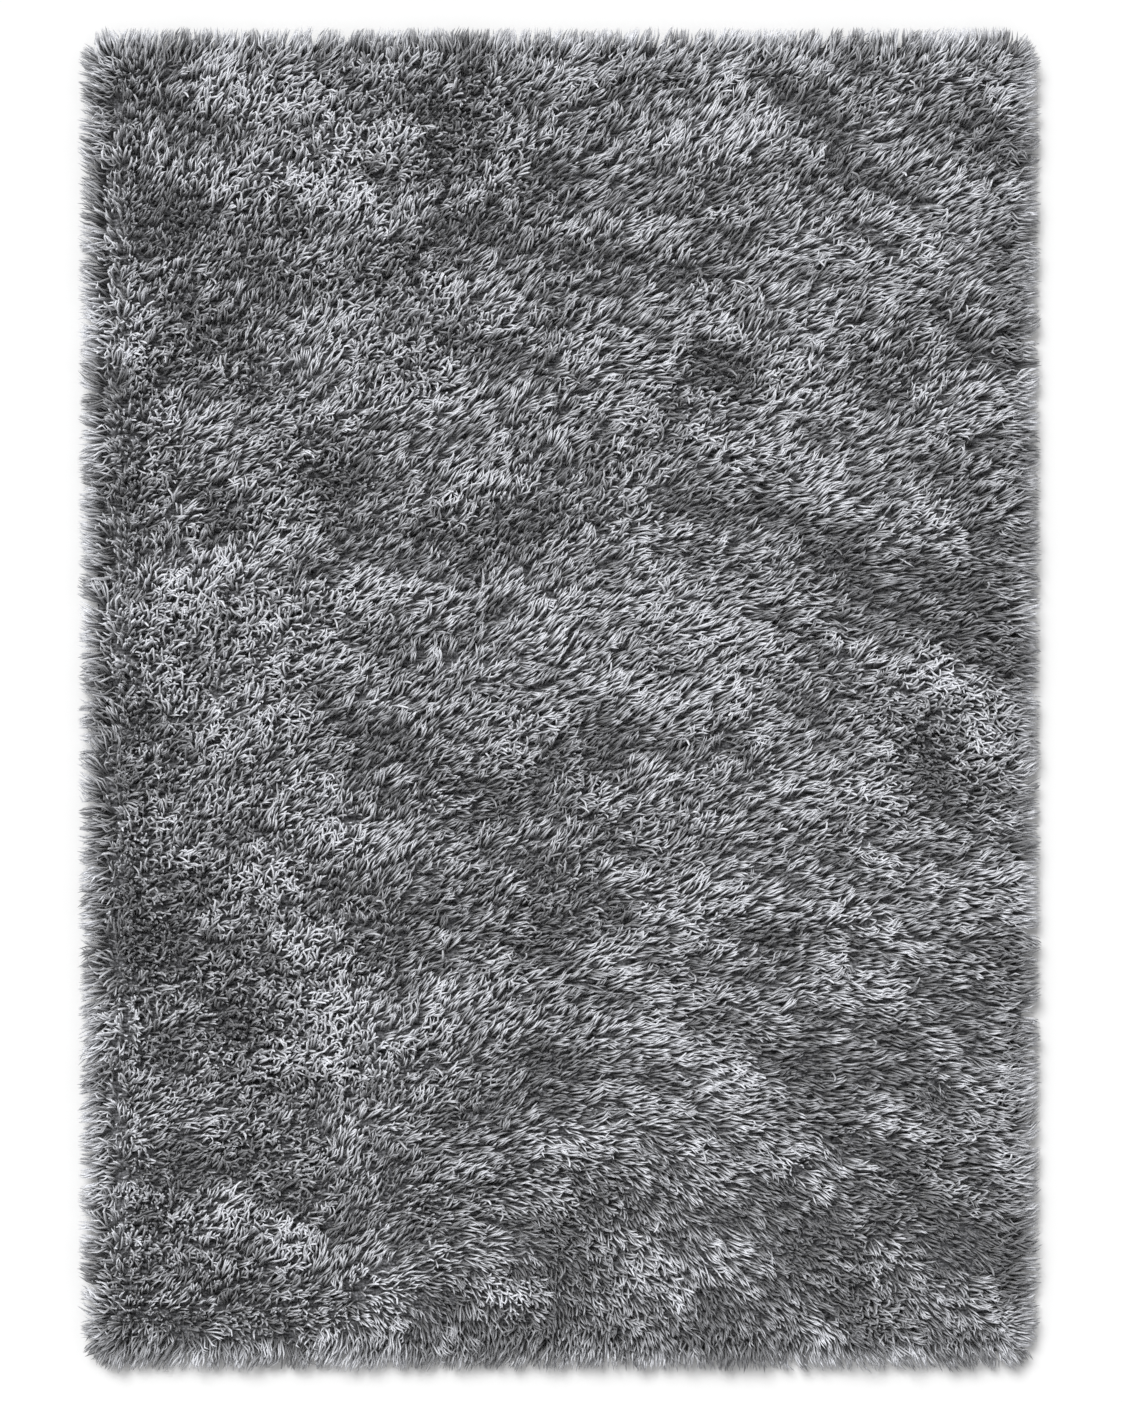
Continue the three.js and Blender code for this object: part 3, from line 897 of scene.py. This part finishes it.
def layYarns():
    rng = np.random.default_rng(yarn["seed"])
    lockX, lockY = staggeredGrid(lockVary["spacing"], 0, lockVary["scatter"], rng)
    locks = len(lockX)
    lockTurn = rng.normal(0, lockVary["turn"], locks)
    lockLength = rng.normal(1, lockVary["length"], locks)
    lockTilt = rng.normal(0, lockVary["tilt"], locks)
    lockTone = rng.normal(0, lockVary["tone"], locks)

    x, y = setRoots(rng)
    lock = nearestLock(x, y, lockX, lockY)
    count = len(lock)
    limitX, limitY = clothHalf[0] - yarn["border"], clothHalf[1] - yarn["border"]
    x, y = np.clip(x, -limitX, limitX), np.clip(y, -limitY, limitY)

    # a yarn lies half as its lock does and half by itself
    toX, toY = lieAt(lockX, lockY)[:2]
    ownX, ownY, agree = lieAt(*(np.array([x, y]) + rng.normal(0, lockVary["ownPlace"], (2, count))))
    headX, headY = 0.5 * toX[lock] + 0.5 * ownX, 0.5 * toY[lock] + 0.5 * ownY
    inset, outX, outY = rugOutline(x, y)
    edge = 1 - rampUp(inset, *pileLie["edgeBand"])
    inner = 1 - edge
    outer = 1 - rampUp(inset, *pileLie["fallBand"])
    curl = curlAt(x, y)
    spread = spreadAt(x, y) * inner
    # how high the pile swells, and the painted light and shade that go with it, are taken where a yarn's
    # upper half lies
    upperX, upperY = x + 21 * mm * inner * headX, y + 21 * mm * inner * headY
    swell, tuft = swellAt(upperX, upperY), tuftAt(upperX, upperY)

    heading = np.arctan2(headY, headX) + lockTurn[lock] * (1 - 0.5 * edge)
    heading += rng.normal(0, 1, count) * np.radians(
        yarnStray["plain"] + yarnStray["inCurls"] * curl * inner + yarnStray["atEdge"] * edge
        + yarnStray["atPartings"] * spread + yarnStray["whereTurning"] * edge * inner)
    bend = rng.normal(0, 1, count) * np.radians(yarnBend["plain"] + yarnBend["inCurls"] * curl * inner)
    length = yarn["length"] * lockLength[lock] * rng.normal(1, 0.06, count)
    length *= (0.70 + 0.24 * swell + 0.28 * tuft) * inner + edge * 0.92
    loose = rng.random(count) < yarn["looseShare"] * inner
    length = np.where(loose, 1.25 * yarn["length"], length)
    bend = np.where(loose, np.sign(bend) * rng.uniform(1.2, 3.2, count), bend)

    tiltRoot = np.radians(yarnLean["root"] + yarnLean["unsettled"] * (1 - agree))
    tiltRoot = tiltRoot + np.abs(rng.normal(0, 0.08, count))
    curlLean = curl * inner * rng.normal(0, yarnLean["inCurls"], count)
    tiltTip = np.radians(yarnLean["tip"] + yarnLean["onCrests"] * swell + curlLean) + lockTilt[lock]
    tiltTip += rng.normal(0, 1, count) * np.radians(11 + 6 * curl)
    tiltTip *= 1 - 0.40 * spread
    tiltTip = np.where(loose, np.radians(yarnLean["loose"]), tiltTip)
    lockDroop = rng.random(locks)[lock]
    droop = yarnLean["droop"] * (1 - rampUp(inset, 32 * mm, 56 * mm)) * lockDroop
    droop = yarnLean["overEdge"] + droop + rng.normal(0, 8, count)
    tiltTip = tiltTip * (1 - outer) + outer * np.radians(droop)
    tiltRoot = tiltRoot + outer * np.radians(6 + 34 * rng.random(count))

    path = walkUp(x, y, length, heading, bend, tiltRoot, tiltTip, curl, rng)
    hold = lockVary["hold"] - lockVary["lessInCurls"] * curl * inner + lockVary["moreAtEdge"] * outer
    drawTogether(path, lock, locks, hold)
    evenOut(path, outer, rng)
    keepInside(path, rng)

    tone = yarnTone["middle"] + lockTone[lock] * (1 + 0.2 * edge)
    tone = tone + rng.normal(0, yarnTone["perYarn"], count) * (1 + 0.6 * edge)
    # painted light and shade: lighter on the swells and tufts, darker in the hollows, and less so along the
    # edges
    tone += (yarnTone["swell"] * (swell - 0.5) * (1 - 0.5 * edge)
             + yarnTone["tuft"] * (tuft - 0.5) * (1 - 0.4 * edge) + yarnTone["loose"] * loose)
    # painted light and shade: lighter towards the lamp at the far end, darker to the right
    tone -= yarnTone["right"] * x / rugHalf[0] - yarnTone["far"] * y / rugHalf[1]
    # darker where the yarns curl; painted shade along the edges, most along the near one
    tone -= (yarnTone["curl"] * curl * inner + yarnTone["edge"] * edge
             + yarnTone["nearEdge"] * edge * (outY < -0.5))
    thickness = yarn["thickness"] * rng.uniform(0.85, 1.15, count) * (1 + 0.12 * edge)
    rank = rng.random(count) - 1.6 * curl * inner - 5 * loose
    start = 0.26 - 0.16 * outer
    print("laid", count, "yarns in", locks, "locks")
    return path, start, tone, thickness, rank


def mapYarn(master, levels):
    # the master's faces, and how far round the yarn and how far up it each corner lies
    places = placeOf(master.data)
    angle = (np.arctan2(places[:, 1], places[:, 0]) / (2 * np.pi)) % 1
    faces = [list(face.vertices) for face in master.data.polygons]
    across, up = [], []
    for face in faces:
        ring = [v for v in face if np.hypot(*places[v, :2]) > 0.1]
        isFoot = len(ring) == 3          # the flat end below
        turns = angle[ring]
        if np.ptp(turns) > 0.5 and not isFoot:
            turns = np.where(turns < 0.5, turns + 1, turns)
        known = dict(zip(ring, turns - angle.min()))
        for v in face:
            across.append(known.get(v, np.mean(list(known.values()))))
            widened = 0.02 if isFoot and v == ring[1] else 0    # gives the foot some width
            up.append((places[v, 2] - levels[0]) / (1 - levels[0]) + widened)
    return faces, np.clip(across, 0, 1), np.clip(up, 0, 1)


def sweep(master, kind, path, start, tone, thickness):
    # bends a copy of the master yarn along each path and gives back one joined mesh's arrays
    template = placeOf(master.data)
    levels = np.array(kind["rings"] + [1.0])
    level = np.abs(template[:, 2:3] - levels[None]).argmin(1)
    last = path.shape[1] - 1
    share = (levels - levels[0]) / (1 - levels[0])
    at = ((start[:, None] + (1 - start[:, None]) * share) * last).round().astype(int)
    every = np.arange(len(path))[:, None]
    spine = path[every, at]
    tangent = unit(path[every, np.minimum(at + 2, last)] - path[every, np.maximum(at - 2, 0)])
    side = unit(np.cross(np.array([0.0, 0.0, 1.0]), path[:, -1] - path[:, 0]))
    sides, ups = [], []
    for k in range(len(levels)):
        side = unit(side - (side * tangent[:, k]).sum(1, keepdims=True) * tangent[:, k])
        sides.append(side)
        ups.append(np.cross(tangent[:, k], side))
    sides, ups = np.stack(sides, 1), np.stack(ups, 1)
    radius = 0.5 * thickness[:, None] * np.array(kind["girths"])[level][None]
    places = spine[:, level] + radius[:, :, None] * (
        template[:, 0][None, :, None] * sides[:, level]
        + template[:, 1][None, :, None] * ups[:, level])

    faces, across, up = mapYarn(master, levels)
    column = np.clip((tone * yarnDyeAndRootShade["tones"]).astype(int), 0, yarnDyeAndRootShade["tones"] - 1)
    u = (column[:, None] + 0.04 + 0.92 * across[None]) / yarnDyeAndRootShade["tones"]
    v = np.broadcast_to(0.004 + 0.992 * up[None], u.shape)
    sizes = np.array([len(face) for face in faces])
    corners = np.concatenate(faces)
    shift = np.arange(len(path)) * len(template)
    return (places.reshape(-1, 3), (corners[None] + shift[:, None]).ravel(),
            np.tile(sizes, len(path)), np.stack([u, v], 2).reshape(-1, 2))


def joinMesh(name, parts, material):
    vertexCount, places, corners, sizes, uvs = 0, [], [], [], []
    for partPlaces, partCorners, partSizes, partUvs in parts:
        places.append(partPlaces)
        corners.append(partCorners + vertexCount)
        sizes.append(partSizes)
        uvs.append(partUvs)
        vertexCount += len(partPlaces)
    places, corners = np.concatenate(places), np.concatenate(corners)
    sizes, uvs = np.concatenate(sizes), np.concatenate(uvs)
    mesh = bpy.data.meshes.new(name)
    mesh.vertices.add(len(places))
    mesh.vertices.foreach_set("co", places.ravel())
    mesh.loops.add(len(corners))
    mesh.loops.foreach_set("vertex_index", corners.astype(np.int32))
    mesh.polygons.add(len(sizes))
    starts = np.concatenate([[0], np.cumsum(sizes)[:-1]]).astype(np.int32)
    mesh.polygons.foreach_set("loop_start", starts)
    layer = mesh.uv_layers.new(name="OFBake")
    layer.uv.foreach_set("vector", uvs.astype(np.float32).ravel())
    mesh.update(calc_edges=True)
    mesh.validate()
    mesh.shade_smooth()
    mesh.materials.append(material)
    piece = bpy.data.objects.new(name, mesh)
    bpy.context.collection.objects.link(piece)
    triangles = int((sizes - 2).sum())
    print(name, triangles, "triangles")
    return piece, triangles


def makeYarns():
    material = makeYarnMaterial()
    straight = modelYarn("straightYarn", yarn["straight"]["rings"])
    curly = modelYarn("curlyYarn", yarn["curly"]["rings"])
    path, start, tone, thickness, rank = layYarns()
    isCurly = rank < np.quantile(rank, yarn["curlyShare"])
    order = np.argsort(path[:, 0, 1], kind="stable")
    band = np.empty(len(order), int)
    band[order] = np.arange(len(order)) * yarn["bands"] // len(order)
    pieces, total = [], 0
    for k in range(yarn["bands"]):
        parts = []
        for master, kind, isKind in ((straight, yarn["straight"], ~isCurly),
                                     (curly, yarn["curly"], isCurly)):
            mine = (band == k) & isKind
            parts.append(sweep(master, kind, path[mine], start[mine], tone[mine], thickness[mine]))
        piece, triangles = joinMesh("pileYarns" + str(k + 1), parts, material)
        total += triangles
        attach(piece, "root")
        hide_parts("pile")
        pieces.append(piece)
    for master in (straight, curly):
        bpy.data.objects.remove(master)
    print("pile made,", total, "triangles")
    return pieces


cloth = makeGroundCloth()
bed = makePileBed()
yarns = makeYarns()
